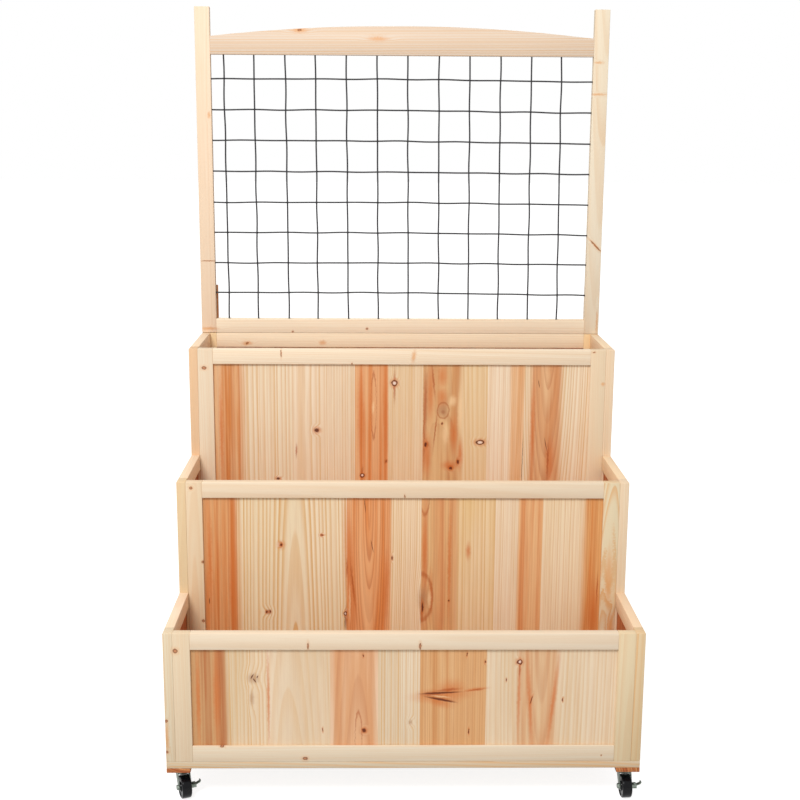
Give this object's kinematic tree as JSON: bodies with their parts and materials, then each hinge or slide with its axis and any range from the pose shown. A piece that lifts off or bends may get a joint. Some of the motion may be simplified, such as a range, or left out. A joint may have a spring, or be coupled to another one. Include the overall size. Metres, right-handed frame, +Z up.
{
  "type": "tiered planter with trellis",
  "caption": "Stepped wooden planter of framed plank boxes, with an arched wire trellis at the back, rolling on swivel casters with brake levers in front.",
  "frame": {"origin": "on the floor, under the middle of the object", "axes": "+Z up, +X to the right seen from the front, +Y from the front of the lowest tier to the trellis at the back"},
  "size_m": [1.0109, 0.752, 1.684],
  "materials": {
    "pale_wood": "unfinished planed sapwood, pale cream",
    "striped_wood": "unfinished edge-glued planks, cream sapwood and orange-red heartwood",
    "heartwood": "unfinished reddish-brown heartwood",
    "coated_wire": "black coating on welded steel wire",
    "zinc": "bright zinc plated pressed steel",
    "wheel_black": "glossy black moulded plastic"
  },
  "bodies": {
    "cabinet": {"base_board": "pale_wood", "lower_front_left_stile": "pale_wood", "lower_front_right_stile": "pale_wood", "lower_front_top_rail": "pale_wood", "middle_front_left_stile": "pale_wood", "middle_front_right_stile": "pale_wood", "middle_front_top_rail": "pale_wood", "upper_front_left_stile": "pale_wood", "upper_front_right_stile": "pale_wood", "upper_front_top_rail": "pale_wood", "lower_front_bottom_rail": "pale_wood", "back_left_stile": "pale_wood", "back_right_stile": "pale_wood", "back_top_rail": "pale_wood", "back_bottom_rail": "pale_wood", "left_side_lower_stile": "pale_wood", "left_side_lower_rail": "pale_wood", "left_side_middle_stile": "pale_wood", "left_side_middle_rail": "pale_wood", "left_side_upper_stile": "pale_wood", "left_side_upper_rail": "pale_wood", "left_side_bottom_rail": "pale_wood", "right_side_lower_stile": "pale_wood", "right_side_lower_rail": "pale_wood", "right_side_middle_stile": "pale_wood", "right_side_middle_rail": "pale_wood", "right_side_upper_stile": "pale_wood", "right_side_upper_rail": "pale_wood", "right_side_bottom_rail": "pale_wood", "middle_floor": "pale_wood", "upper_floor": "pale_wood", "trellis_left_post": "pale_wood", "trellis_right_post": "pale_wood", "trellis_bottom_rail": "pale_wood", "trellis_arched_rail": "pale_wood", "lower_front_panel": "striped_wood", "middle_front_panel": "striped_wood", "upper_front_panel": "striped_wood", "back_panel": "striped_wood", "left_side_panel": "striped_wood", "right_side_panel": "striped_wood", "left_runner": "heartwood", "right_runner": "heartwood", "left_cleat": "heartwood", "right_cleat": "heartwood", "wire_grid": "coated_wire", "caster_plate_front_left": "zinc", "caster_plate_front_right": "zinc", "caster_plate_rear_left": "zinc", "caster_plate_rear_right": "zinc"},
    "fork_front_left": {"caster_fork_front_left": "zinc"},
    "wheel_front_left": {"caster_wheel_front_left": "wheel_black"},
    "lever_front_left": {"brake_lever_front_left": "zinc"},
    "fork_front_right": {"caster_fork_front_right": "zinc"},
    "wheel_front_right": {"caster_wheel_front_right": "wheel_black"},
    "lever_front_right": {"brake_lever_front_right": "zinc"},
    "fork_rear_left": {"caster_fork_rear_left": "zinc"},
    "wheel_rear_left": {"caster_wheel_rear_left": "wheel_black"},
    "fork_rear_right": {"caster_fork_rear_right": "zinc"},
    "wheel_rear_right": {"caster_wheel_rear_right": "wheel_black"}
  },
  "joints": [
    {"name": "swivel_front_left", "type": "hinge", "parent": "cabinet", "child": "fork_front_left", "pos_m": [-0.475, -0.328, 0.06], "axis": [0, 0, 1], "continuous": true},
    {"name": "roll_front_left", "type": "hinge", "parent": "fork_front_left", "child": "wheel_front_left", "pos_m": [-0.46676, -0.3484, 0.025], "axis": [0.9272, 0.3746, 0], "continuous": true},
    {"name": "brake_front_left", "type": "hinge", "parent": "fork_front_left", "child": "lever_front_left", "pos_m": [-0.4484, -0.34098, 0.025], "axis": [-0.3746, 0.9272, 0], "range_deg": [0, 60]},
    {"name": "swivel_front_right", "type": "hinge", "parent": "cabinet", "child": "fork_front_right", "pos_m": [0.475, -0.328, 0.06], "axis": [0, 0, 1], "continuous": true},
    {"name": "roll_front_right", "type": "hinge", "parent": "fork_front_right", "child": "wheel_front_right", "pos_m": [0.47615, -0.34997, 0.025], "axis": [0.9986, 0.0523, 0], "continuous": true},
    {"name": "brake_front_right", "type": "hinge", "parent": "fork_front_right", "child": "lever_front_right", "pos_m": [0.49592, -0.34893, 0.025], "axis": [-0.0523, 0.9986, 0], "range_deg": [0, 60]},
    {"name": "swivel_rear_left", "type": "hinge", "parent": "cabinet", "child": "fork_rear_left", "pos_m": [-0.475, 0.316, 0.06], "axis": [0, 0, 1], "continuous": true},
    {"name": "roll_rear_left", "type": "hinge", "parent": "fork_rear_left", "child": "wheel_rear_left", "pos_m": [-0.47882, 0.29433, 0.025], "axis": [0.9848, -0.1736, 0], "continuous": true},
    {"name": "swivel_rear_right", "type": "hinge", "parent": "cabinet", "child": "fork_rear_right", "pos_m": [0.475, 0.316, 0.06], "axis": [0, 0, 1], "continuous": true},
    {"name": "roll_rear_right", "type": "hinge", "parent": "fork_rear_right", "child": "wheel_rear_right", "pos_m": [0.48032, 0.29465, 0.025], "axis": [0.9703, 0.2419, 0], "continuous": true}
  ]
}
